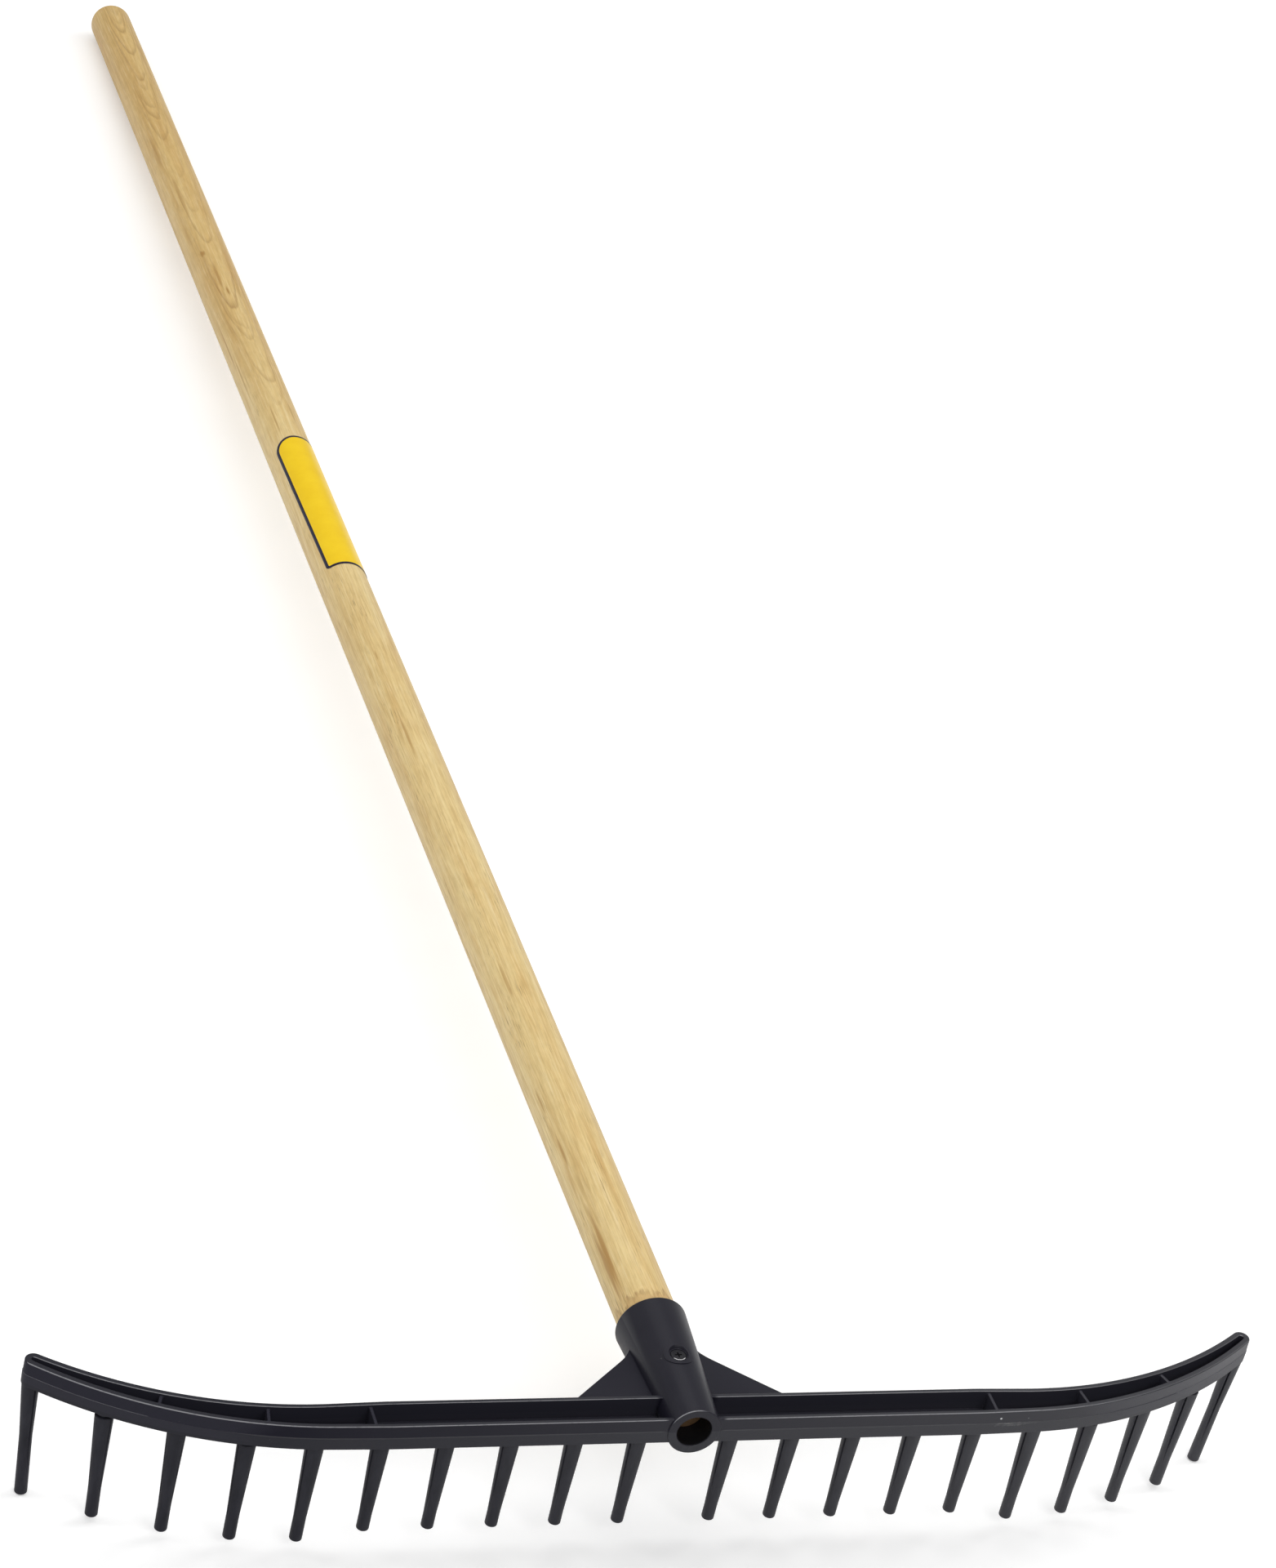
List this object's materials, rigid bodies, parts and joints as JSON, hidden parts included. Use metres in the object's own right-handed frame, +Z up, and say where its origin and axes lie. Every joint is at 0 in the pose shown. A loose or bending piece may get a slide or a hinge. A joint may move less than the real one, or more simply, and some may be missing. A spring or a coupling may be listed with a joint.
{
  "type": "bunker rake",
  "caption": "Long-handled bunker rake: a wide black plastic head with round tines and swept-back ends, socketed onto a round wooden handle with a domed butt.",
  "frame": {"origin": "on the floor, under the middle of the rake's box", "axes": "+X along the beam to the right, +Y from the head to the handle's butt, +Z up; the tines and the butt stand on the floor"},
  "size_m": [0.593, 1.5688, 0.0857],
  "materials": {
    "black_plastic": "satin moulded polypropylene",
    "wood": "smooth, clear-sealed pale ash",
    "dark_steel": "blackened steel",
    "yellow_label": "printed film with a dark border, no lettering"
  },
  "bodies": {
    "root": {"rake_head": "black_plastic", "plug_tine_left_1": "black_plastic", "plug_tine_right_1": "black_plastic", "plug_tine_left_2": "black_plastic", "plug_tine_right_2": "black_plastic", "plug_tine_left_3": "black_plastic", "plug_tine_right_3": "black_plastic", "plug_tine_left_4": "black_plastic", "plug_tine_right_4": "black_plastic", "plug_tine_left_5": "black_plastic", "plug_tine_right_5": "black_plastic", "handle": "wood", "fixing_screw": "dark_steel", "label": "yellow_label"}
  },
  "joints": []
}
